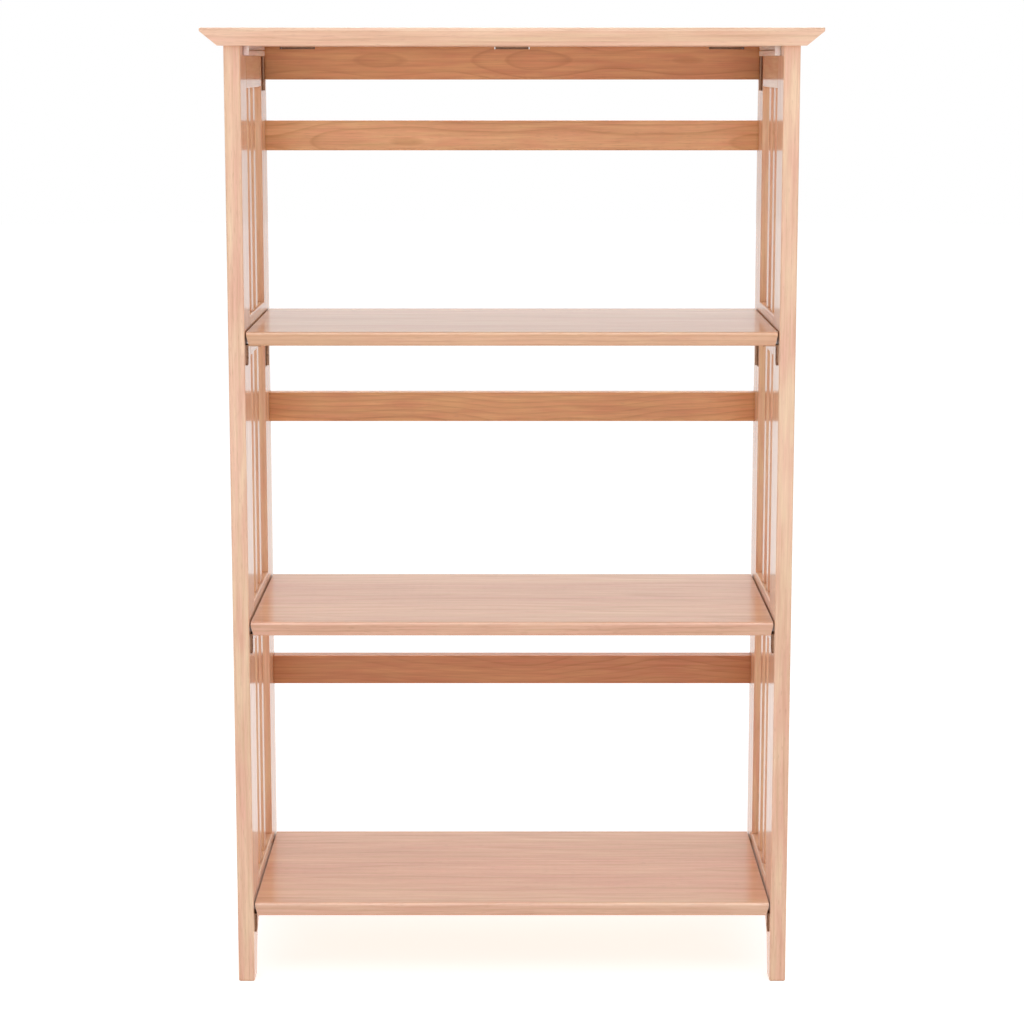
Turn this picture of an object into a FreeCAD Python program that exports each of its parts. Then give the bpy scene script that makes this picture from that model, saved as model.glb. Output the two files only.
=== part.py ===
# Folding bookcase: a four-tier slatted wooden bookcase whose top lifts on butt hinges and whose
# three shelves swing up on hidden pins, so that the hinged side frames can fold in behind them.
# Frame: millimetres, +Z up, the front faces -Y, X = 0 on the centre line, the feet stand on Z = 0.
import FreeCAD, Part
import math
import os

# ---- heights, from the floor up ----
floor_gap = 76.0           # floor to the underside of the lowest shelf
shelf_thickness = 15.0
bay_height = 309.0         # clear height over each shelf
top_thickness = 19.0

# ---- plan ----
frame_width = 620.0        # over the outer faces of the two side frames
frame_depth = 297.0        # front of the front posts to the back of the back frame
post_thickness = 18.0      # X thickness of every post and stile
front_post_width = 64.0    # Y size of a front post
rear_post_width = 24.5     # Y size of a side frame's rear post
stile_width = 38.5         # Y size of a back stile
top_overhang = 23.0        # top beyond the posts, at the front and both ends
arris = 1.6                # rounding of the posts' and rails' long edges

# ---- tapered legs ----
leg_shoulder = 30.0        # the leg narrows over this distance under the bottom rail
leg_knee = 34.0            # leg width where the curve ends
leg_foot = 27.0            # leg width at the floor
foot_bevel = 1.2           # bevel round the end of each foot

# ---- top ----
top_lip = 3.8              # upright edge above the bevel
bevel_run = 17.0           # how far the underside bevel runs in
top_arris = 1.0

# ---- shelves ----
shelf_end_gap = 1.5        # shelf end to side frame
shelf_setback = 3.0        # shelf front behind the posts' front
shelf_undercut = 3.0       # each end is cut back this much towards the underside
shelf_nose_top = 4.0       # rounding of the front edge, top and underside
shelf_nose_bottom = 2.5
shelf_back_reach = 15.0    # shelf behind its pivot
pivot_inset = 8.0          # pivot behind the front of the stiles
pivot_radius = 3.0
pivot_in_stile = 12.0
pivot_in_shelf = 16.0
pivot_fit = 0.06           # running clearance, on the radius

# ---- back frame rails ----
rail_thickness = 18.0
back_rail_height = 35.0
back_rail_rise = 188.0     # shelf surface to the underside of the rail behind it
top_rail_height = 38.0

# ---- side frame rails and slats ----
side_rail_height = 45.0
side_rail_rise = 12.0      # a side rail stands this much over its shelf's surface
side_top_rail_height = 46.0
slat_width = 22.0
slat_gap = 28.0
slat_thickness = 12.0
slat_housing = 8.0         # slat end let into a rail
slat_arris = 1.5

# ---- mortise and tenon joints ----
tenon_thickness = 8.0
tenon_shoulder = 6.0       # rail edge to tenon edge
tenon_length = 14.0
tenon_fit = 0.1

# ---- butt hinges ----
hinge_length = 39.5
hinge_drop = 11.0          # board above to the upper end of a side hinge
leaf_thickness = 1.2
leaf_gap = 0.1             # axis to the near face of a leaf
side_leaf_reach = 21.0     # axis to the leaf's free edge
top_leaf_reach = 17.5
barrel_radius = 2.2
hinge_pin_radius = 1.1
hinge_pin_fit = 0.05
knuckles = 3
knuckle_gap = 0.3
barrel_relief = 0.3        # wood and leaf stand clear of a turning barrel
seat_fit = 0.1             # leaf to the sides of its recess
side_joint_gap = 1.0       # rear post to stile
top_hinge_spacing = 253.0

# ---- shelf brackets ----
bracket_thickness = 1.4
bracket_width = 16.0
bracket_seat = 16.5
bracket_drop = 23.0
bracket_setback = 12.0     # bracket behind the posts' front
bracket_bend = 2.0
bracket_foot = 5.0         # corner radius at the lower end

# ---- cleats under the top ----
cleat_width = 6.0
cleat_height = 10.5
cleat_length = 182.0
cleat_setback = 33.0
cleat_clearance = 0.4      # cleat to side frame
kerf_height = 1.6
kerf_depth = 2.0
kerf_drop = 3.6

# ---- worked out from the sizes above ----
barrel_stand = 2.0 * barrel_radius
top_depth = frame_depth + top_overhang
overall_depth = top_depth + barrel_stand
top_width = frame_width + 2.0 * top_overhang
front_y = -overall_depth / 2.0 + top_overhang
rear_y = front_y + frame_depth
stile_front_y = rear_y - stile_width
side_rear_y = stile_front_y - side_joint_gap
rear_post_y = side_rear_y - rear_post_width
front_post_rear_y = front_y + front_post_width
outer_x = frame_width / 2.0
inner_x = outer_x - post_thickness
mid_x = outer_x - post_thickness / 2.0
tier = bay_height + shelf_thickness
shelf_names = ["lower", "middle", "upper"]
shelf_top = {name: floor_gap + shelf_thickness + i * tier for i, name in enumerate(shelf_names)}
top_under = floor_gap + 3.0 * tier
pivot_y = stile_front_y + pivot_inset
shelf_half = inner_x - shelf_end_gap
leg_top = shelf_top["lower"] + side_rail_rise - side_rail_height
slat_pair = 2.0 * slat_width + slat_gap
slat_start = (front_post_rear_y + rear_post_y - slat_pair) / 2.0
top_axis_y = rear_y + barrel_radius
notch_depth = 2.0 * (leaf_thickness + leaf_gap)
top_axis_z = top_under - notch_depth / 2.0
hinge_tops = [top_under - hinge_drop] + [shelf_top[n] - shelf_thickness - hinge_drop
                                         for n in ("upper", "middle")]


def vec(x, y, z):
    return FreeCAD.Vector(x, y, z)


def box(x0, x1, y0, y1, z0, z1):
    return Part.makeBox(x1 - x0, y1 - y0, z1 - z0, vec(x0, y0, z0))


def rod(radius, start, end):
    run = end - start
    return Part.makeCylinder(radius, run.Length, start, run)


def face_of(edges):
    return Part.Face(Part.Wire(edges))


def outline(points):
    closed = points + [points[0]]
    return [Part.LineSegment(a, b).toShape() for a, b in zip(closed, closed[1:])]


def along_x(edges, x0, x1):
    """Extrude an outline drawn in the YZ plane at X = 0 from x0 to x1."""
    solid = face_of(edges).extrude(vec(x1 - x0, 0, 0))
    solid.translate(vec(x0, 0, 0))
    return solid


def mirrored(shape):
    return shape.mirror(vec(0, 0, 0), vec(1, 0, 0))


def grouped(shapes):
    return Part.makeCompound(shapes)


def long_edges(shape, axis, shortest, keep=lambda e: True):
    """The straight edges that run along one axis and are at least that long."""
    found = []
    for edge in shape.Edges:
        if len(edge.Vertexes) < 2 or edge.Length < shortest:
            continue
        run = edge.Vertexes[1].Point - edge.Vertexes[0].Point
        if abs(run.normalize().dot(axis)) > 0.9999 and keep(edge):
            found.append(edge)
    return found


def eased(shape, axis, shortest, radius, keep=lambda e: True):
    return shape.makeFillet(radius, long_edges(shape, axis, shortest, keep))


# ---------------------------------------------------------------- butt hinge
# Drawn with its axis on Z from 0 to hinge_length, its leaf towards +Y, just beyond the axis in +X.

def knuckle_span(i):
    step = hinge_length / knuckles
    return i * step, (i + 1) * step


def hinge_leaf(reach, first):
    """The leaf that owns knuckles first, first + 2 and so on."""
    leaf = box(leaf_gap, leaf_gap + leaf_thickness, 0, reach, 0, hinge_length)
    for i in range(first, knuckles, 2):
        low, high = knuckle_span(i)
        leaf = leaf.fuse(rod(barrel_radius, vec(0, 0, low), vec(0, 0, high)))
    tools = [rod(hinge_pin_radius + hinge_pin_fit, vec(0, 0, -1), vec(0, 0, hinge_length + 1))]
    for i in range(1 - first, knuckles, 2):
        low, high = knuckle_span(i)
        reach_x = barrel_radius + barrel_relief
        tools.append(box(-reach_x, reach_x, -reach_x, reach_x, low - knuckle_gap, high + knuckle_gap))
    return leaf.cut(tools).removeSplitter()


def hinge_pin():
    return rod(hinge_pin_radius, vec(0, 0, 0), vec(0, 0, hinge_length))


def leaf_seat(reach, depth):
    """What a leaf and the barrel beside it take out of the wood."""
    recess = box(-1.0, leaf_gap + depth, 0, reach + seat_fit, -seat_fit, hinge_length + seat_fit)
    barrel = rod(barrel_radius + barrel_relief, vec(0, 0, -seat_fit), vec(0, 0, hinge_length + seat_fit))
    return recess.fuse(barrel)


def swap_leaf(shape):
    """The same leaf on the far side of the axis, with the hinge opened flat."""
    return shape.mirror(vec(0, 0, 0), vec(0, 1, 0))


def close_leaf(shape):
    """The same leaf folded shut against its mate."""
    return shape.mirror(vec(0, 0, 0), vec(1, 0, 0))


def at_side_hinge(shape, upper_end):
    """Stand a hinge in the left inner corner: its leaf lies on the rear post, its mate on the stile."""
    placed = shape.copy()
    placed.rotate(vec(0, 0, 0), vec(0, 0, 1), 180)
    placed.translate(vec(-inner_x + leaf_gap, side_rear_y + side_joint_gap / 2.0, upper_end - hinge_length))
    return placed


def at_top_hinge(shape, centre_x):
    """Lay a hinge along the back edge of the top: its leaf lies on the top rail, under its mate."""
    placed = shape.copy()
    placed.rotate(vec(0, 0, 0), vec(0, 0, 1), 180)
    placed.rotate(vec(0, 0, 0), vec(0, 1, 0), -90)
    placed.translate(vec(centre_x + hinge_length / 2.0, top_axis_y, top_axis_z))
    return placed


def side_hinge_sets(make):
    return [at_side_hinge(make(), z) for z in hinge_tops]


def top_hinge_sets(make):
    return [at_top_hinge(make(), x) for x in (-top_hinge_spacing, 0.0, top_hinge_spacing)]


# ---------------------------------------------------------------- legs, posts and stiles

def leg_outline(y_edge, y_back, inward):
    """Side view of a post: straight at y_edge, tapered below the bottom rail on its other edge."""
    foot = y_edge + inward * leg_foot
    knee = y_edge + inward * leg_knee
    knee_z = leg_top - leg_shoulder
    start = vec(0, y_back, leg_top)
    end = vec(0, knee, knee_z)
    middle = start * 0.5 + end * 0.5 + vec(0, -inward * leg_shoulder * 0.13, leg_shoulder * 0.13)
    corners = [vec(0, y_edge, 0), vec(0, y_edge, top_under), vec(0, y_back, top_under), start]
    edges = [Part.LineSegment(a, b).toShape() for a, b in zip(corners, corners[1:])]
    edges.append(Part.Arc(start, middle, end).toShape())
    edges.append(Part.LineSegment(end, vec(0, foot, 0)).toShape())
    edges.append(Part.LineSegment(vec(0, foot, 0), corners[0]).toShape())
    return edges


def side_rail_spans():
    """Name, underside and top of each rail of a side frame."""
    spans = [("bottom_rail", "lower"), ("middle_rail", "middle"), ("upper_rail", "upper")]
    rails = [(rail, shelf_top[n] + side_rail_rise - side_rail_height, shelf_top[n] + side_rail_rise)
             for rail, n in spans]
    return rails + [("top_rail", top_under - side_top_rail_height, top_under)]


def side_tenons(grow=0.0):
    half = tenon_thickness / 2.0 + grow
    return [box(-mid_x - half, -mid_x + half,
                front_post_rear_y - tenon_length - grow, rear_post_y + tenon_length + grow,
                low + tenon_shoulder - grow, high - tenon_shoulder + grow)
            for name, low, high in side_rail_spans()]


def eased_leg(leg):
    """Round a leg's long straight edges and bevel the end that stands on the floor."""
    leg = eased(leg, vec(0, 0, 1), 100.0, arris)
    return leg.makeChamfer(foot_bevel, [e for e in leg.Edges if e.BoundBox.ZMax < 0.01])


def front_post():
    post = eased_leg(along_x(leg_outline(front_y, front_post_rear_y, 1.0), -outer_x, -inner_x))
    return post.cut(side_tenons(tenon_fit))


def rear_post():
    """Narrow post of the side frame, its foot cut to the curve of the rear leg."""
    leg = along_x(leg_outline(rear_y, rear_post_y, -1.0), -outer_x, -inner_x)
    slab = box(-outer_x, -inner_x, rear_post_y, side_rear_y, 0, top_under)
    post = eased(leg.common(slab), vec(0, 0, 1), 100.0, arris, lambda e: e.CenterOfMass.y < side_rear_y - 1.0)
    tools = side_tenons(tenon_fit) + side_hinge_sets(lambda: leaf_seat(side_leaf_reach, leaf_thickness))
    return post.cut(tools)


def back_rail_spans():
    """Name, underside and top of each rail of the back frame."""
    spans = [("back_rail_" + n, shelf_top[n] + back_rail_rise, shelf_top[n] + back_rail_rise + back_rail_height)
             for n in shelf_names]
    return spans + [("back_rail_top", top_under - top_rail_height, top_under)]


def back_tenon(low, high, grow=0.0):
    half = tenon_thickness / 2.0 + grow
    centre = rear_y - rail_thickness / 2.0
    reach = inner_x + tenon_length + grow
    return box(-reach, reach, centre - half, centre + half, low + tenon_shoulder - grow,
               high - tenon_shoulder + grow)


def pivot_pin(z, inside, outside, grow=0.0):
    return rod(pivot_radius + grow, vec(-inner_x - outside, pivot_y, z), vec(-inner_x + inside, pivot_y, z))


def pivot_height(name):
    return shelf_top[name] - shelf_thickness / 2.0


def back_stile():
    leg = along_x(leg_outline(rear_y, rear_post_y, -1.0), -outer_x, -inner_x)
    slab = box(-outer_x, -inner_x, stile_front_y, rear_y, 0, top_under)
    stile = eased_leg(leg.common(slab))
    tools = [back_tenon(low, high, tenon_fit) for name, low, high in back_rail_spans()]
    tools += [pivot_pin(pivot_height(n), 1.0, pivot_in_stile) for n in shelf_names]
    tools += side_hinge_sets(lambda: swap_leaf(leaf_seat(side_leaf_reach, leaf_thickness)))
    return stile.cut(tools)


# ---------------------------------------------------------------- rails and slats

def back_rail(low, high):
    rail = box(-inner_x, inner_x, rear_y - rail_thickness, rear_y, low, high)
    rail = eased(rail, vec(1, 0, 0), 100.0, arris, lambda e: e.CenterOfMass.z < top_under - 1.0)
    return rail.fuse(back_tenon(low, high)).removeSplitter()


def top_hinge_notches():
    """A through notch for each pair of leaves in the top rail's upper edge."""
    half = hinge_length / 2.0 + 1.0
    return [box(x - half, x + half, rear_y - rail_thickness - 1.0, rear_y + 1.0,
                top_under - notch_depth, top_under + 1.0)
            for x in (-top_hinge_spacing, 0.0, top_hinge_spacing)]


def back_top_rail(low, high):
    return back_rail(low, high).cut(top_hinge_notches())


def slat_places():
    return [slat_start, slat_start + slat_width + slat_gap]


def slat_bar(y0, low, high, grow=0.0):
    half = slat_thickness / 2.0 + grow
    return box(-mid_x - half, -mid_x + half, y0 - grow, y0 + slat_width + grow,
               low - slat_housing - grow, high + slat_housing + grow)


def slat(y0, low, high):
    return eased(slat_bar(y0, low, high), vec(0, 0, 1), 100.0, slat_arris)


def side_rail(low, high, bays):
    rail = box(-outer_x, -inner_x, front_post_rear_y, rear_post_y, low, high)
    rail = eased(rail, vec(0, 1, 0), 50.0, arris, lambda e: e.CenterOfMass.z < top_under - 1.0)
    tenons = [t for t in side_tenons() if low < t.BoundBox.Center.z < high]
    rail = rail.fuse(tenons).removeSplitter()
    housings = [slat_bar(y, b_low, b_high, tenon_fit) for b_low, b_high in bays for y in slat_places()]
    return rail.cut(housings)


def side_bays():
    """Name, underside and top of the open height between neighbouring side rails."""
    rails = side_rail_spans()
    names = ["slats_lower", "slats_middle", "slats_upper"]
    return [(name, below[2], above[1]) for name, below, above in zip(names, rails, rails[1:])]


# ---------------------------------------------------------------- shelves and top

def shelf_side_outline(low, high):
    """Side view of a shelf: a rounded nose at the front, square at the back."""
    nose = front_y + shelf_setback
    back = pivot_y + shelf_back_reach
    turn = math.sqrt(0.5)
    up, down = shelf_nose_top, shelf_nose_bottom
    top_mid = vec(0, nose + up * (1.0 - turn), high - up * (1.0 - turn))
    low_mid = vec(0, nose + down * (1.0 - turn), low + down * (1.0 - turn))
    edges = [Part.LineSegment(vec(0, back, low), vec(0, back, high)).toShape()]
    edges.append(Part.LineSegment(vec(0, back, high), vec(0, nose + up, high)).toShape())
    edges.append(Part.Arc(vec(0, nose + up, high), top_mid, vec(0, nose, high - up)).toShape())
    edges.append(Part.LineSegment(vec(0, nose, high - up), vec(0, nose, low + down)).toShape())
    edges.append(Part.Arc(vec(0, nose, low + down), low_mid, vec(0, nose + down, low)).toShape())
    edges.append(Part.LineSegment(vec(0, nose + down, low), vec(0, back, low)).toShape())
    return edges


def shelf(name):
    high = shelf_top[name]
    low = high - shelf_thickness
    board = along_x(shelf_side_outline(low, high), -shelf_half, shelf_half)
    under = shelf_half - shelf_undercut
    shoulder = high - shelf_nose_top
    y0, y1 = front_y, rear_y
    ends = [vec(-shelf_half, y0, high), vec(shelf_half, y0, high), vec(shelf_half, y0, shoulder),
            vec(under, y0, low), vec(-under, y0, low), vec(-shelf_half, y0, shoulder)]
    board = board.common(face_of(outline(ends)).extrude(vec(0, y1 - y0, 0)))
    bore = pivot_pin(pivot_height(name), shelf_end_gap + pivot_in_shelf, 0.0, pivot_fit)
    return board.cut([bore, mirrored(bore)])


def top_panel():
    """The top: an upright lip above a bevel that runs in at the front and at both ends."""
    front = front_y - top_overhang
    high = top_under + top_thickness
    lip = high - top_lip
    half = top_width / 2.0
    side_view = [vec(0, rear_y, top_under), vec(0, rear_y, high), vec(0, front, high),
                 vec(0, front, lip), vec(0, front + bevel_run, top_under)]
    front_view = [vec(-half, 0, high), vec(half, 0, high), vec(half, 0, lip),
                  vec(half - bevel_run, 0, top_under), vec(bevel_run - half, 0, top_under), vec(-half, 0, lip)]
    across = face_of(outline(front_view)).extrude(vec(0, top_depth, 0))
    across.translate(vec(0, front, 0))
    panel = along_x(outline(side_view), -half, half).common(across)
    rim = [e for e in panel.Edges if abs(e.CenterOfMass.z - high) < 0.01]
    return panel.makeFillet(top_arris, rim)


def cleat():
    """Locating strip under the top, just inside a side frame, with a saw kerf along its inner face."""
    outside = -inner_x + cleat_clearance
    inside = outside + cleat_width
    start = front_y + cleat_setback
    strip = box(outside, inside, start, start + cleat_length, top_under - cleat_height, top_under)
    kerf = box(inside - kerf_depth, inside + 1.0, start + kerf_drop, start + cleat_length + 1.0,
               top_under - kerf_drop - kerf_height, top_under - kerf_drop)
    return strip.cut(kerf)


# ---------------------------------------------------------------- shelf brackets

def bracket(under):
    """Bent steel angle: one leg on the post's inner face, the other under the shelf's front corner."""
    y0 = front_y + bracket_setback
    y1 = y0 + bracket_width
    face = -inner_x
    inner = face + bracket_thickness
    tall = box(face, inner, y0, y1, under - bracket_drop, under)
    tall = eased(tall, vec(1, 0, 0), 1.0, bracket_foot, lambda e: e.CenterOfMass.z < under - 1.0)
    seat = box(face, face + bracket_seat, y0, y1, under - bracket_thickness, under)
    seat = eased(seat, vec(0, 0, 1), 1.0, bracket_bend, lambda e: e.CenterOfMass.x > inner)
    return tall.fuse(seat).removeSplitter()


# ---------------------------------------------------------------- all the nodes

def side_frame_nodes(side, flip):
    rails = side_rail_spans()
    bays = side_bays()
    nodes = {"front_post_" + side: flip(front_post()), "rear_post_" + side: flip(rear_post())}
    for i, (name, low, high) in enumerate(rails):
        beside = [bay[1:] for bay in bays[max(i - 1, 0):i + 1]]
        nodes["side_" + name + "_" + side] = flip(side_rail(low, high, beside))
    for name, low, high in bays:
        nodes["side_" + name + "_" + side] = flip(grouped([slat(y, low, high) for y in slat_places()]))
    return nodes


def side_hinge_nodes(side, flip):
    post_leaves = side_hinge_sets(lambda: hinge_leaf(side_leaf_reach, 0))
    stile_leaves = side_hinge_sets(lambda: swap_leaf(hinge_leaf(side_leaf_reach, 1)))
    return {"side_hinge_post_leaves_" + side: flip(grouped(post_leaves)),
            "side_hinge_stile_leaves_" + side: flip(grouped(stile_leaves)),
            "side_hinge_pins_" + side: flip(grouped(side_hinge_sets(hinge_pin)))}


def both_sides(shapes):
    return grouped(shapes + [mirrored(s) for s in shapes])


def top_nodes():
    panel_leaves = top_hinge_sets(lambda: close_leaf(hinge_leaf(top_leaf_reach, 1)))
    return {"top_panel": top_panel(),
            "top_cleat_left": cleat(),
            "top_cleat_right": mirrored(cleat()),
            "top_hinge_panel_leaves": grouped(panel_leaves),
            "top_hinge_rail_leaves": grouped(top_hinge_sets(lambda: hinge_leaf(top_leaf_reach, 0))),
            "top_hinge_pins": grouped(top_hinge_sets(hinge_pin))}


def back_frame_nodes():
    nodes = {"back_stile_left": back_stile(), "back_stile_right": mirrored(back_stile())}
    for name, low, high in back_rail_spans():
        make = back_top_rail if name == "back_rail_top" else back_rail
        nodes[name] = make(low, high)
    return nodes


def shelf_nodes():
    nodes = {}
    for name in shelf_names:
        pin = pivot_pin(pivot_height(name), shelf_end_gap + pivot_in_shelf - 0.5, pivot_in_stile)
        nodes["shelf_" + name] = shelf(name)
        nodes["shelf_pivot_pins_" + name] = both_sides([pin])
        nodes["shelf_brackets_" + name] = both_sides([bracket(shelf_top[name] - shelf_thickness)])
    return nodes


def all_nodes():
    nodes = back_frame_nodes()
    nodes.update(side_frame_nodes("left", lambda s: s))
    nodes.update(side_frame_nodes("right", mirrored))
    nodes.update(side_hinge_nodes("left", lambda s: s))
    nodes.update(side_hinge_nodes("right", mirrored))
    nodes.update(shelf_nodes())
    nodes.update(top_nodes())
    return nodes


os.makedirs("parts", exist_ok=True)
for node, shape in all_nodes().items():
    shape.exportStep("parts/" + node + ".step")
    print(node, len(shape.Solids), "solids", round(shape.Volume, 1), "mm3", shape.isValid())
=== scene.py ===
import bpy
import bmesh
import math
from mathutils import Matrix, Vector


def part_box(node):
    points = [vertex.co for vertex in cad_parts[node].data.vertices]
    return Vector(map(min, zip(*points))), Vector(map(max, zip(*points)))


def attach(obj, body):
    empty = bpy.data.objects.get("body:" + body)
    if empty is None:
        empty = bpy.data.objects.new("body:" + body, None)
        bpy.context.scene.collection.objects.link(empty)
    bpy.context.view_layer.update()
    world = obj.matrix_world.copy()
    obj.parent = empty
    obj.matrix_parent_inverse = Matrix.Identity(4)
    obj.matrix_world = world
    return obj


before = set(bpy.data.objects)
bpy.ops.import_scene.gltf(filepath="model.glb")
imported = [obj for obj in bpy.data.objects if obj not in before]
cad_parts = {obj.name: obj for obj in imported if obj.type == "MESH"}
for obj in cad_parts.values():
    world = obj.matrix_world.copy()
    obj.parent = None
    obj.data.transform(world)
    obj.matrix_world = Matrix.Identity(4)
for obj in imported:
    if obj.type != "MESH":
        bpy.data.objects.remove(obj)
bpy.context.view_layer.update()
scene = bpy.context.scene
print("stage: frame loaded,", len(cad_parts), "nodes")

viewpoint = {
    "distance": 2.977,      # metres in front of the bookcase's centre
    "height": 1.032,
    "tilt": 8.93,           # degrees below level
    "focal": 91.8,          # mm
    "sensor": 36,           # mm across
    "lift": -0.04,          # lens shift
    "reach": 60,            # metres that the lens sees
}


def makeCamera(look):
    data = bpy.data.cameras.new("studioCamera")
    data.lens = look["focal"]
    data.sensor_width = look["sensor"]
    data.shift_y = look["lift"]
    data.clip_end = look["reach"]
    camera = bpy.data.objects.new("studioCamera", data)
    camera.location = (0, -look["distance"], look["height"])
    camera.rotation_euler = (math.radians(90 - look["tilt"]), 0, 0)
    scene.collection.objects.link(camera)
    scene.camera = camera


makeCamera(viewpoint)
scene.view_settings.view_transform = "Standard"
print("stage: camera")


# shader shorthand
def addNode(tree, kind, **values):
    node = tree.nodes.new(kind)
    for key, value in values.items():
        setattr(node, key, value)
    return node


def setInputs(node, **values):
    for key, value in values.items():
        node.inputs[key.replace("_", " ")].default_value = value
    return node


def feed(tree, target, value):
    # a number or colour is set on the socket, anything else is linked to it
    if isinstance(value, (int, float)):
        target.default_value = value
    elif isinstance(value, tuple):
        short = len(value) == 3 and target.type == "RGBA"
        target.default_value = (*value, 1) if short else value
    else:
        tree.links.new(value, target)


def maths(tree, operation, *values, clamp=False):
    node = addNode(tree, "ShaderNodeMath", operation=operation, use_clamp=clamp)
    for slot, value in enumerate(values):
        feed(tree, node.inputs[slot], value)
    return node.outputs[0]


def times(tree, first, second):
    return maths(tree, "MULTIPLY", first, second)


def scaled(tree, value, gain, shift, clamp=False):
    return maths(tree, "MULTIPLY_ADD", value, gain, shift, clamp=clamp)


def mixTones(tree, amount, first, second, blend="MIX"):
    # the node's colours are its inputs 6 and 7 and its output 2
    node = addNode(tree, "ShaderNodeMix", data_type="RGBA", blend_type=blend, clamp_factor=True)
    for slot, value in ((0, amount), (6, first), (7, second)):
        feed(tree, node.inputs[slot], value)
    return node.outputs[2]


def vectorOf(tree, x, y, z):
    node = addNode(tree, "ShaderNodeCombineXYZ")
    for slot, value in enumerate((x, y, z)):
        feed(tree, node.inputs[slot], value)
    return node.outputs[0]


def partsOf(tree, vector):
    node = addNode(tree, "ShaderNodeSeparateXYZ")
    feed(tree, node.inputs[0], vector)
    return node.outputs


def noiseOf(tree, vector, scale=1.0, detail=2.0, roughness=0.5):
    node = addNode(tree, "ShaderNodeTexNoise")
    setInputs(node, Scale=scale, Detail=detail, Roughness=roughness)
    feed(tree, node.inputs["Vector"], vector)
    return node.outputs["Fac"]


gaps = {"reach": 0.006, "samples": 6, "gain": 2.2, "shift": -0.6}


def openness(tree, look=gaps):
    # 1 in the open, 0 deep in a narrow gap, where the lacquer is thin and shade is painted into the colour
    gap = addNode(tree, "ShaderNodeAmbientOcclusion", samples=look["samples"])
    setInputs(gap, Distance=look["reach"])
    return scaled(tree, gap.outputs["AO"], look["gain"], look["shift"], clamp=True)


def newFinish(name):
    material = bpy.data.materials.new(name)
    material.use_nodes = True
    material.node_tree.nodes.clear()
    return material, material.node_tree


def showFinish(tree, shader):
    out = addNode(tree, "ShaderNodeOutputMaterial")
    tree.links.new(shader, out.inputs["Surface"])


def newShader(tree, height, strength, distance, **values):
    # a principled shader whose surface follows a height
    bump = setInputs(addNode(tree, "ShaderNodeBump"), Strength=strength, Distance=distance)
    feed(tree, bump.inputs["Height"], height)
    shader = setInputs(addNode(tree, "ShaderNodeBsdfPrincipled"), **values)
    feed(tree, shader.inputs["Normal"], bump.outputs[0])
    return shader


# front is the dim side behind the camera, back the white backdrop
# a turn is where a ray's direction passes from the first level to the second
room = {
    "skyFront": 0.2, "skyBack": 0.92, "skyTurn": (-0.6, 0.6),           # light that falls on the wood
    "glossFront": 0.35, "glossBack": 0.9, "glossTurn": (-0.35, 0.1),    # what shows in lacquer and metal
    "glossAbove": 9.0, "aboveTurn": (0.6, 0.95),                        # and the big soft light overhead
    "floorTone": 0.86, "floorBounce": 0.32,     # what the floor throws on the wood
    "floorShade": 0.75, "floorGlow": 0.63,      # how the floor looks itself
    "floorReach": 14, "floorSides": 96,
}
lamps = {
    "leftBox": {"power": 12, "size": 2.4, "place": (-2.4, -2.6, 2.1), "aim": (0, 0, 0.5)},
    "rightBox": {"power": 12, "size": 2.4, "place": (2.4, -2.6, 2.1), "aim": (0, 0, 0.5)},
    "topBox": {"power": 22, "size": 1.8, "place": (0, -1.7, 2.9), "aim": (0, 0, 0.55)},
    "lowFill": {"power": 19.5, "size": 1.8, "place": (0, -3.1, 0.25), "aim": (0, 0, 0.75)},
}


def rayKinds(tree):
    path = addNode(tree, "ShaderNodeLightPath")
    gloss = maths(tree, "MAXIMUM", path.outputs["Is Glossy Ray"], path.outputs["Is Transmission Ray"])
    return path.outputs["Is Camera Ray"], gloss


def makeRoom(look):
    world = bpy.data.worlds.new("whiteRoom")
    scene.world = world
    world.use_nodes = True
    tree = world.node_tree
    tree.nodes.clear()
    lens, gloss = rayKinds(tree)
    way = partsOf(tree, addNode(tree, "ShaderNodeTexCoord").outputs["Generated"])
    levels = []
    for axis, turn, first, last in (
            ("Y", look["glossTurn"], look["glossFront"], look["glossBack"]),
            ("Z", look["aboveTurn"], 0.0, look["glossAbove"]),
            ("Y", look["skyTurn"], look["skyFront"], look["skyBack"])):
        level = addNode(tree, "ShaderNodeMapRange")
        setInputs(level, From_Min=turn[0], From_Max=turn[1], To_Min=first, To_Max=last)
        feed(tree, level.inputs["Value"], way[axis])
        levels.append(level.outputs["Result"])
    around, above, falling = levels
    shown = scaled(tree, gloss, maths(tree, "ADD", around, above), lens)    # the lens sees plain white
    plain = maths(tree, "SUBTRACT", 1.0, maths(tree, "ADD", lens, gloss), clamp=True)
    glow = setInputs(addNode(tree, "ShaderNodeBackground"), Color=(1, 1, 1, 1))
    feed(tree, glow.inputs["Strength"], scaled(tree, plain, falling, shown))
    out = addNode(tree, "ShaderNodeOutputWorld")
    tree.links.new(glow.outputs[0], out.inputs["Surface"])


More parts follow.
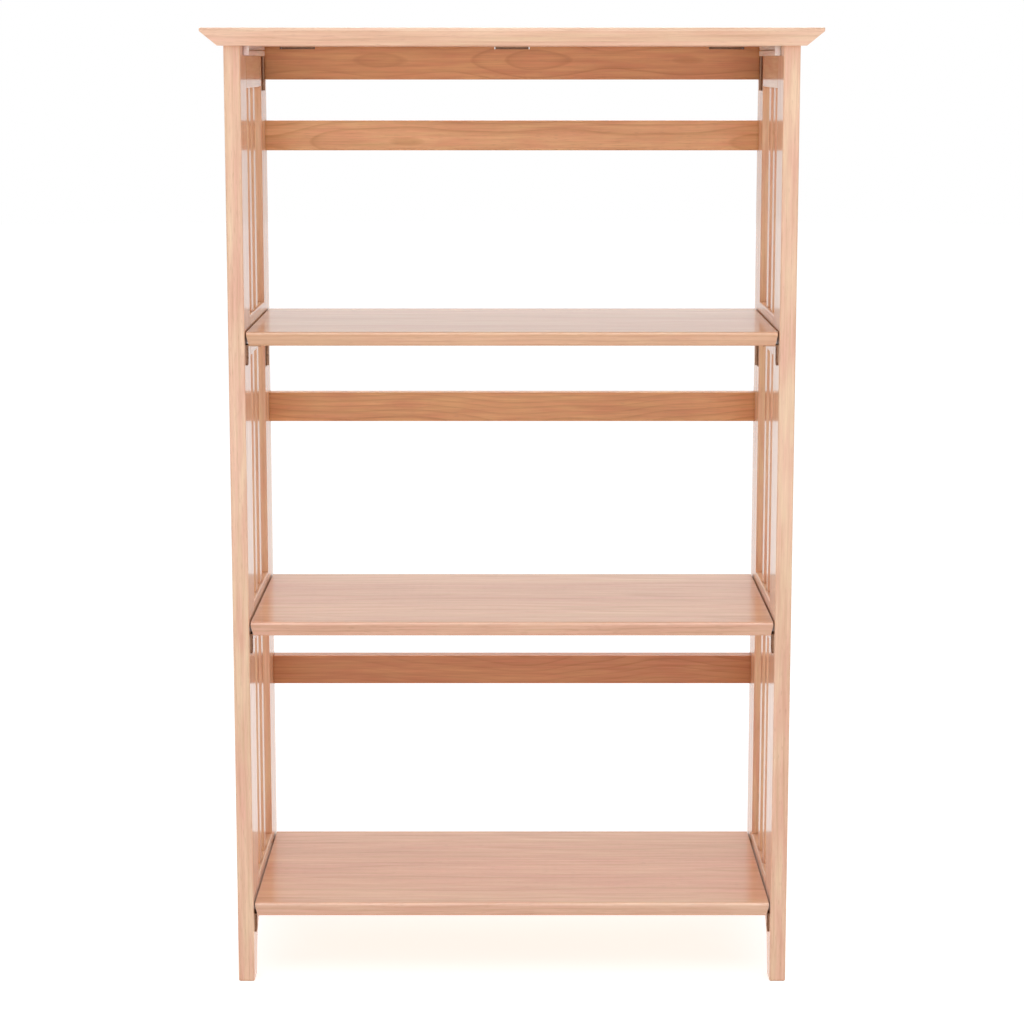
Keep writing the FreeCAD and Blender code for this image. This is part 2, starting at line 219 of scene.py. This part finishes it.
def makeFloor(look):
    bm = bmesh.new()
    bmesh.ops.create_circle(bm, cap_ends=True, segments=look["floorSides"], radius=look["floorReach"])
    mesh = bpy.data.meshes.new("studioFloor")
    bm.to_mesh(mesh)
    bm.free()
    floor = bpy.data.objects.new("studioFloor", mesh)
    scene.collection.objects.link(floor)
    material, tree = newFinish("whiteFloor")
    lens, gloss = rayKinds(tree)
    seen = maths(tree, "ADD", lens, gloss)
    matt, lift = addNode(tree, "ShaderNodeBsdfDiffuse"), addNode(tree, "ShaderNodeEmission")
    for target, thrown, shown in ((matt.inputs["Color"], "floorTone", "floorShade"),
                                  (lift.inputs["Strength"], "floorBounce", "floorGlow")):
        feed(tree, target, scaled(tree, seen, look[shown] - look[thrown], look[thrown]))
    both = addNode(tree, "ShaderNodeAddShader")
    tree.links.new(matt.outputs[0], both.inputs[0])
    tree.links.new(lift.outputs[0], both.inputs[1])
    showFinish(tree, both.outputs[0])
    mesh.materials.append(material)


def makeLamp(name, look):
    data = bpy.data.lights.new(name, "AREA")
    data.energy = look["power"]
    data.size = look["size"]
    lamp = bpy.data.objects.new(name, data)
    lamp.location = look["place"]
    way = Vector(look["aim"]) - Vector(look["place"])
    lamp.rotation_euler = way.to_track_quat("-Z", "Y").to_euler()
    scene.collection.objects.link(lamp)


makeRoom(room)
makeFloor(room)
for lampName, lampLook in lamps.items():
    makeLamp(lampName, lampLook)
print("stage: studio")

wood = {
    "pale": (0.805, 0.565, 0.362),      # yellowish early wood
    "rosy": (0.745, 0.420, 0.288),      # pinkish areas
    "deep": (0.560, 0.300, 0.160),      # late wood lines
    "fleck": (0.430, 0.225, 0.120),     # short pores
    "endGrain": 0.62, "gapShade": 0.6,  # sawn ends are this much darker, and wood in narrow gaps is painted this much darker as shade
    "warmth": (0.75, 1.0, 1.3),         # how far red, green and blue follow light and dark in the grain
    "mottle": 2.2, "sweep": 1.6,        # how strongly pink and yellow areas part, small ones and large ones
    "streak": 0.26, "fibre": 0.16, "cloud": 0.24, "dash": 0.22,     # light and dark in each of these patterns
    "staveShade": 0.12,                 # and from one glued strip to the next
    "ringSpacing": 0.0052,
    "ringRise": 6.0, "ringEnd": 9.0,    # how suddenly late wood begins and ends in a ring
    "bowDepth": 0.02,                   # metres that a whole board bends through its rings
    "logLength": 9.0, "logSpread": 0.06,    # the part of a log that boards and strips come from
    "fleckStart": 0.64, "fleckGain": 8.0, "fleckShow": 0.4,
    "lateDrift": (1.1, -0.2), "fleckDrift": (1.6, -0.3),    # both come and go with the drift: gain and shift
    "sawnStart": 0.7, "sawnGain": 5.0,  # how squarely a face looks along the grain before it counts as sawn
    # how quickly the painted highlight comes on over the rounded upper edge
    "highlightGain": 2.0,
    "fibreRelief": 0.3, "fleckRelief": 0.7, "bump": 0.12, "bumpDepth": 0.0003,
    "roughness": 0.42, "roughVary": 0.16, "specular": 0.1,
    "coat": 0.72, "coatRoughness": 0.12, "coatIor": 1.42,
}
# noise in the grain: how fast it changes along and across a metre of board, then its detail and roughness
grainNoise = {
    "wander": (2.8, 12.0, 2.0, 0.45),       # the rings' own waves
    "bow": (0.8, 3.0, 1.0, 0.5),
    "drift": (1.6, 16.0, 3.0, 0.6),
    "streak": (4.0, 210.0, 3.0, 0.6),
    "fibre": (26.0, 900.0, 2.0, 0.6),
    "dots": (95.0, 1350.0, 0.0, 0.5),
    "patches": (15.0, 120.0, 2.0, 0.5),
    "cloud": (5.0, 42.0, 2.0, 0.5),
    "dash": (18.0, 480.0, 2.0, 0.5),
}
# grain: the axis it runs along, then the axis towards the heart of the tree
# tint: multiplies the wood's own tones, and also stands for painted light on the posts and top and painted
# shade on the back rails; edge: the same for the long edges, as well
# core: metres from the heart that the board was sawn at
# figure: metres that its rings wander; swirl: how fast they do across the board
# lines: how strongly the rings show; mottle: how strongly small pink and yellow areas do
# stave: width of the glued strips; vary: how much light and dark there is
# nosing: painted highlight, how much paler the rounded upper edge is made; ends: shade of the sawn ends;
# gloss: coat roughness
panelCut = {
    "grain": "xz", "core": 0.07, "figure": 0.008, "stave": 0.064,
    "vary": 1.15, "lines": 1.5, "mottle": 0.5,
}
shelfCut = {**panelCut, "noseHighlight": 0.2}
railCut = {
    "grain": "xy", "core": 0.035, "figure": 0.028, "swirl": 0.9,
    "lines": 2.6, "vary": 1.7, "gloss": 0.3,
}
uprightCut = {"grain": "zx", "tint": (1.04, 1.0, 0.97), "core": 0.07, "figure": 0.006}
# the posts' paler, cooler tint is partly their own tone and partly a painted white sheen from the front
# lights
postCut = {"tint": (1.06, 1.05, 1.10), "core": 0.055, "figure": 0.008, "vary": 1.2}
boards = {
    "front_post": {**uprightCut, **postCut},
    "rear_post": uprightCut,
    "back_stile": uprightCut,
    "slats": {**uprightCut, "core": 0.09, "figure": 0.004},
    "side_": {**uprightCut, "grain": "yz", "core": 0.08},
    # the back rails' darker, redder tints are partly their own tone and partly painted shade from the top and
    # shelves over them
    "back_rail_top": {**railCut, "tint": (0.83, 0.62, 0.41)},
    "back_rail_upper": {**railCut, "tint": (1.06, 0.96, 0.74)},
    "back_rail_middle": {**railCut, "tint": (0.95, 0.78, 0.53)},
    "back_rail_lower": {**railCut, "tint": (0.72, 0.49, 0.34)},
    "shelf_upper": {**shelfCut, "tint": (0.89, 0.86, 0.83), "edge": (0.97, 0.87, 0.81)},
    "shelf_middle": {**shelfCut, "tint": (1.08, 1.03, 1.01), "edge": (0.87, 0.83, 0.88)},
    "shelf_lower": {**shelfCut, "tint": (1.06, 1.00, 1.00), "edge": (0.87, 0.85, 0.90)},
    # painted light: the top's paler tint stands for the strong light from below on its down-facing front
    # bevel
    "top_panel": {**panelCut, "tint": (1.15, 1.22, 1.34)},
    "top_cleat": {"grain": "yz", "tint": (1.12, 1.6, 2.3), "core": 0.09, "figure": 0.003, "ends": 1.1},
}
grainTurn = {
    "xz": (0, 0, 0), "xy": (math.pi / 2, 0, 0),
    "yz": (0, 0, -math.pi / 2), "zx": (0, math.pi / 2, 0),
}


dice = {"pace": (12.9898, 78.233), "shake": 43758.5453, "stripStep": 7.31}


def diceOf(seed):
    # two steady numbers between 0 and 1 for each seed
    return [(math.sin(seed * pace) * dice["shake"]) % 1.0 for pace in dice["pace"]]


def grainAxes(tree, board, centre):
    # along, across and up: of the place on the board, then of the way the surface faces
    coordinates = addNode(tree, "ShaderNodeTexCoord")
    middle = addNode(tree, "ShaderNodeVectorMath", operation="SUBTRACT")
    middle.inputs[1].default_value = centre
    feed(tree, middle.inputs[0], coordinates.outputs["Object"])
    axes = []
    for source in (middle.outputs[0], coordinates.outputs["Normal"]):
        turn = addNode(tree, "ShaderNodeMapping")
        turn.inputs["Rotation"].default_value = grainTurn[board["grain"]]
        feed(tree, turn.inputs["Vector"], source)
        axes.append(partsOf(tree, turn.outputs[0]))
    return axes


def placeInLog(tree, board, seed, place, look):
    # every board or glued strip comes from its own place in the log
    along, across, up = place
    throw, start = diceOf(seed)
    if "stave" in board:
        strip = maths(tree, "FLOOR", scaled(tree, across, 1 / board["stave"], start))
        pick = addNode(tree, "ShaderNodeTexWhiteNoise", noise_dimensions="1D")
        feed(tree, pick.inputs["W"], maths(tree, "ADD", strip, seed * dice["stripStep"]))
        throw = pick.outputs["Value"]
    along = scaled(tree, throw, look["logLength"], along)
    offset = scaled(tree, throw, look["logSpread"], -look["logSpread"] / 2)
    if "stave" in board:
        offset = maths(tree, "ADD", offset, times(tree, strip, -board["stave"]))
    return (along, maths(tree, "ADD", across, offset), up), throw


def lateWood(tree, board, place, noise, look):
    # rings round the heart, which the sawn face cuts into long lines and pointed arches
    along, across, up = place
    depth = maths(tree, "ADD", up, board["core"])
    radius = maths(tree, "SQRT", scaled(tree, across, across, times(tree, depth, depth)))
    radius = scaled(tree, noise["wander"], board["figure"] * 2, radius)
    radius = scaled(tree, noise["bow"], look["bowDepth"], radius)
    ring = maths(tree, "FRACT", times(tree, radius, 1 / look["ringSpacing"]))
    falling = maths(tree, "MULTIPLY", maths(tree, "SUBTRACT", 1.0, ring), look["ringEnd"], clamp=True)
    late = times(tree, maths(tree, "POWER", ring, look["ringRise"]), falling)
    late = times(tree, late, board.get("lines", 1.0))
    return times(tree, late, scaled(tree, noise["drift"], *look["lateDrift"], clamp=True))


def woodFinish(name, seed, board, centre, look=wood):
    material, tree = newFinish(name)
    place, facing = grainAxes(tree, board, centre)
    place, throw = placeInLog(tree, board, seed, place, look)
    noise = {}
    for pattern, (lengthways, crossways, detail, roughness) in grainNoise.items():
        if pattern == "wander":
            crossways = board.get("swirl", crossways)
        stretched = vectorOf(tree, *(times(tree, part, pace) for part, pace
                                     in zip(place, (lengthways, crossways, crossways))))
        noise[pattern] = noiseOf(tree, stretched, detail=detail, roughness=roughness)

    mottle, sweep = look["mottle"] * board.get("mottle", 1.0), look["sweep"]
    flush = scaled(tree, noise["drift"], sweep, 0.5 - (mottle + sweep) / 2)
    flush = scaled(tree, noise["patches"], mottle, flush)
    tone = mixTones(tree, maths(tree, "MAXIMUM", flush, 0.0), look["pale"], look["rosy"])
    tone = mixTones(tree, lateWood(tree, board, place, noise, look), tone, look["deep"])

    shade = 1.0
    for pattern in ("streak", "fibre", "cloud", "dash"):
        much = look[pattern] * board.get("vary", 1.0)
        shade = scaled(tree, noise[pattern], much, maths(tree, "SUBTRACT", shade, much / 2))
    if "stave" in board:
        strips = scaled(tree, throw, look["staveShade"], 1 - look["staveShade"] / 2)
        shade = times(tree, shade, strips)
    sawn = maths(tree, "SUBTRACT", maths(tree, "ABSOLUTE", facing[0]), look["sawnStart"])
    sawn = maths(tree, "MULTIPLY", sawn, look["sawnGain"], clamp=True)
    shade = times(tree, shade, scaled(tree, sawn, board.get("ends", look["endGrain"]) - 1, 1.0))
    # painted shade: wood deep in a narrow gap is darkened, and its lacquer thinned
    clear = openness(tree)
    shade = times(tree, shade, scaled(tree, clear, 1 - look["gapShade"], look["gapShade"]))
    side = maths(tree, "ABSOLUTE", facing[1])
    if "noseHighlight" in board:
        # painted highlight: the rounded upper edge, where it faces up and out, is made paler
        rounded = maths(tree, "MULTIPLY", times(tree, side, facing[2]), look["highlightGain"], clamp=True)
        shade = scaled(tree, rounded, board["noseHighlight"], shade)
    shade = maths(tree, "SUBTRACT", shade, 1.0)
    channels = []
    for part, edge, warm in zip(board["tint"], board.get("edge", (1, 1, 1)), look["warmth"]):
        part = scaled(tree, side, part * (edge - 1), part)
        channels.append(times(tree, part, scaled(tree, shade, warm, 1.0)))
    tone = mixTones(tree, 1.0, tone, vectorOf(tree, *channels), "MULTIPLY")
    flecks = maths(tree, "SUBTRACT", noise["dots"], look["fleckStart"])
    flecks = maths(tree, "MULTIPLY", flecks, look["fleckGain"], clamp=True)
    flecks = times(tree, flecks, scaled(tree, noise["drift"], *look["fleckDrift"], clamp=True))
    tone = mixTones(tree, times(tree, flecks, look["fleckShow"]), tone, look["fleck"])

    relief = maths(tree, "SUBTRACT", times(tree, noise["fibre"], look["fibreRelief"]),
                   times(tree, flecks, look["fleckRelief"]))
    shader = newShader(tree, relief, look["bump"], look["bumpDepth"],
                       Specular_IOR_Level=look["specular"], Coat_IOR=look["coatIor"],
                       Coat_Roughness=board.get("gloss", look["coatRoughness"]))
    feed(tree, shader.inputs["Base Color"], tone)
    rough = scaled(tree, noise["streak"], look["roughVary"], look["roughness"] - look["roughVary"] / 2)
    feed(tree, shader.inputs["Roughness"], rough)
    lacquer = times(tree, scaled(tree, sawn, -look["coat"], look["coat"]), clear)
    feed(tree, shader.inputs["Coat Weight"], lacquer)
    showFinish(tree, shader.outputs[0])
    return material


# bronzed steel
steel = {
    "bright": (0.37, 0.215, 0.14), "dull": (0.225, 0.125, 0.08), "edge": (0.40, 0.245, 0.165),
    # painted shade: the next share is how much of its tone steel keeps deep in a narrow gap
    "roughness": 0.36, "roughVary": 0.24, "paintedGapShade": 0.3,
    "cloud": (260.0, 3.0, 0.55),        # scale, detail and roughness of the bright and dull areas
    "cloudShow": (1.8, -0.5), "brushing": (3200, 3200, 200),
    "seedStep": (1.0, 0.7, 0.3),        # metres that one seed lies from the next in the pattern
    "bump": 0.25, "bumpDepth": 0.0001,
}


def steelFinish(name, seed, look=steel):
    material, tree = newFinish(name)
    place = addNode(tree, "ShaderNodeMapping")
    place.inputs["Location"].default_value = [seed * step for step in look["seedStep"]]
    feed(tree, place.inputs["Vector"], addNode(tree, "ShaderNodeTexCoord").outputs["Object"])
    cloud = noiseOf(tree, place.outputs[0], *look["cloud"])
    drawn = setInputs(addNode(tree, "ShaderNodeMapping"), Scale=look["brushing"])
    feed(tree, drawn.inputs["Vector"], place.outputs[0])
    shader = newShader(tree, noiseOf(tree, drawn.outputs[0]), look["bump"], look["bumpDepth"],
                       Metallic=1.0, Specular_Tint=(*look["edge"], 1))
    dull = scaled(tree, cloud, *look["cloudShow"], clamp=True)
    tone = mixTones(tree, dull, look["bright"], look["dull"])
    # painted shade: steel deep in a narrow gap is darkened
    paintedGapShade = scaled(tree, openness(tree), 1 - look["paintedGapShade"], look["paintedGapShade"])
    tone = mixTones(tree, 1.0, tone, vectorOf(tree, paintedGapShade, paintedGapShade, paintedGapShade), "MULTIPLY")
    feed(tree, shader.inputs["Base Color"], tone)
    rough = scaled(tree, cloud, look["roughVary"], look["roughness"] - look["roughVary"] / 2)
    feed(tree, shader.inputs["Roughness"], rough)
    showFinish(tree, shader.outputs[0])
    return material


def dressNodes():
    steelParts = ("hinge", "pins", "brackets")
    for seed, node in enumerate(sorted(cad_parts), start=1):
        if any(part in node for part in steelParts):
            finish = steelFinish("steel_" + node, seed)
        else:
            kind = next(kind for kind in boards if kind in node)
            low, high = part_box(node)
            centre = (Vector(low) + Vector(high)) / 2
            finish = woodFinish("wood_" + node, seed, boards[kind], centre)
        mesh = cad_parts[node].data
        mesh.materials.clear()
        mesh.materials.append(finish)


dressNodes()
print("stage: finishes")

# stand: how far the head stands out of the metal; cross: length and width of the driver's recess
screws = {
    "hinge": {"radius": 0.0029, "stand": 0.0005, "taper": 0.74, "cross": (0.0030, 0.0007), "depth": 0.0004},
    "flush": {"radius": 0.0028, "stand": 0.00008, "taper": 0.97, "cross": (0.0030, 0.0007), "depth": 0.00006},
    "pan": {"radius": 0.0029, "stand": 0.0006, "taper": 0.76, "cross": (0.0030, 0.0008), "depth": 0.0005},
    "cleat": {"radius": 0.0021, "stand": 0.0003, "taper": 0.85, "cross": (0.0023, 0.0006), "depth": 0.00025},
}
screwSteel = {**steel, "bright": (0.40, 0.27, 0.20)}
screwLook = {
    "seed": 61, "sides": 28, "rimShare": 0.5, "rimCuts": 2,
    "turnStart": 0.3, "turnStep": 0.83,     # radians, so that no two crosses line up
    # painted shade: the cross recesses get a near-black tone
    "recess": (0.05, 0.045, 0.04), "recessRoughness": 0.6,
}
hardware = {
    "hingeLevels": (1.01725, 0.69325, 0.36925), "hingeSpread": 0.012, "leafMiddle": 0.0125,
    "sideAxis": (0.2919, 0.1188), "sideFace": 0.2920,
    "topPlaces": (-0.253, 0.0, 0.253), "topLeafMiddle": 0.1495,
    "railLeafTop": 1.0466, "panelLeafUnder": 1.0468,
    "bracketFace": 0.2906, "bracketY": -0.1192,
    "bracketUnders": (0.724, 0.400, 0.076), "bracketDrops": (0.0075, 0.0160),
    "cleatX": 0.2886, "cleatUnder": 1.0375, "cleatPlaces": (-0.086, -0.015, 0.056),
}


# painted shade: the screws' cross recesses are coloured nearly black to stand for the shade inside them
def recessShadeFinish(look):
    material, tree = newFinish("screw_recess_shade")
    shader = setInputs(addNode(tree, "ShaderNodeBsdfPrincipled"), Metallic=1.0,
                       Base_Color=(*look["recess"], 1), Roughness=look["recessRoughness"])
    showFinish(tree, shader.outputs[0])
    return material


def shapeObject(name, bm, finishes):
    mesh = bpy.data.meshes.new(name)
    bm.to_mesh(mesh)
    bm.free()
    for finish in finishes:
        mesh.materials.append(finish)
    shape = bpy.data.objects.new(name, mesh)
    scene.collection.objects.link(shape)
    return shape


def screwHead(kind, finishes):
    look = screws[kind]
    radius, stand = look["radius"], look["stand"]
    bm = bmesh.new()
    bmesh.ops.create_cone(bm, cap_ends=True, segments=screwLook["sides"], radius1=radius,
                          radius2=radius * look["taper"], depth=stand * 2)
    rim = [e for e in bm.edges if all(v.co.z > 0 for v in e.verts) and len(e.link_faces) == 2]
    bmesh.ops.bevel(bm, geom=rim, affect="EDGES", offset=stand * screwLook["rimShare"],
                    segments=screwLook["rimCuts"], profile=0.5, material=-1)
    head = shapeObject("head_" + kind, bm, finishes)
    bm = bmesh.new()
    size = Matrix.Diagonal((*look["cross"], look["depth"] * 2, 1))
    for turn in (0, math.pi / 2):
        place = Matrix.Translation((0, 0, stand)) @ Matrix.Rotation(turn, 4, "Z")
        bmesh.ops.create_cube(bm, size=1, matrix=place @ size)
    cutter = shapeObject("cross_" + kind, bm, finishes)
    for face in cutter.data.polygons:
        face.material_index = 1
    cut = head.modifiers.new("cross", "BOOLEAN")
    cut.object = cutter
    cut.operation = "DIFFERENCE"
    cut.solver = "EXACT"
    cut.use_self = True
    bpy.context.view_layer.update()
    made = bpy.data.meshes.new_from_object(head.evaluated_get(bpy.context.evaluated_depsgraph_get()))
    for used in (head, cutter):
        bpy.data.objects.remove(used)
    return made


def setScrews(name, head, places, finishes, body):
    # places: point on the metal and the way the head looks out of it
    bm = bmesh.new()
    for count, (point, way) in enumerate(places):
        before = len(bm.verts)
        bm.from_mesh(head)
        bm.verts.ensure_lookup_table()
        turn = Vector(way).to_track_quat("Z", "Y").to_matrix().to_4x4()
        spin = Matrix.Rotation(count * screwLook["turnStep"] + screwLook["turnStart"], 4, "Z")
        seat = Matrix.Translation(point) @ turn @ spin
        bmesh.ops.transform(bm, matrix=seat, verts=bm.verts[before:])
    piece = shapeObject(name, bm, finishes)
    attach(piece, body)


def makeScrews(look):
    finishes = (steelFinish("steel_screws", screwLook["seed"], screwSteel), recessShadeFinish(screwLook))
    heads = {kind: screwHead(kind, finishes) for kind in screws}
    spread, middle = look["hingeSpread"], look["leafMiddle"]
    axisX, axisY = look["sideAxis"]
    for side, sign in (("left", -1), ("right", 1)):
        places = [((sign * look["sideFace"], axisY + along, level + rise), (-sign, 0, 0))
                  for level in look["hingeLevels"] for rise in (-spread, spread)
                  for along in (-middle, middle)]
        setScrews("side_hinge_screws_" + side, heads["hinge"], places, finishes, "frame")
        places = [((sign * look["bracketFace"], look["bracketY"], under - drop), (-sign, 0, 0))
                  for under in look["bracketUnders"] for drop in look["bracketDrops"]]
        setScrews("bracket_screws_" + side, heads["pan"], places, finishes, "frame")
        places = [((sign * look["cleatX"], y, look["cleatUnder"]), (0, 0, -1)) for y in look["cleatPlaces"]]
        setScrews("cleat_screws_" + side, heads["cleat"], places, finishes, "top")
    for name, level, way, body in (("top_hinge_rail_screws", look["railLeafTop"], 1, "frame"),
                                   ("top_hinge_panel_screws", look["panelLeafUnder"], -1, "top")):
        places = [((x + shift, look["topLeafMiddle"], level), (0, 0, way))
                  for x in look["topPlaces"] for shift in (-spread, spread)]
        setScrews(name, heads["flush"], places, finishes, body)


makeScrews(hardware)
print("stage: screws")
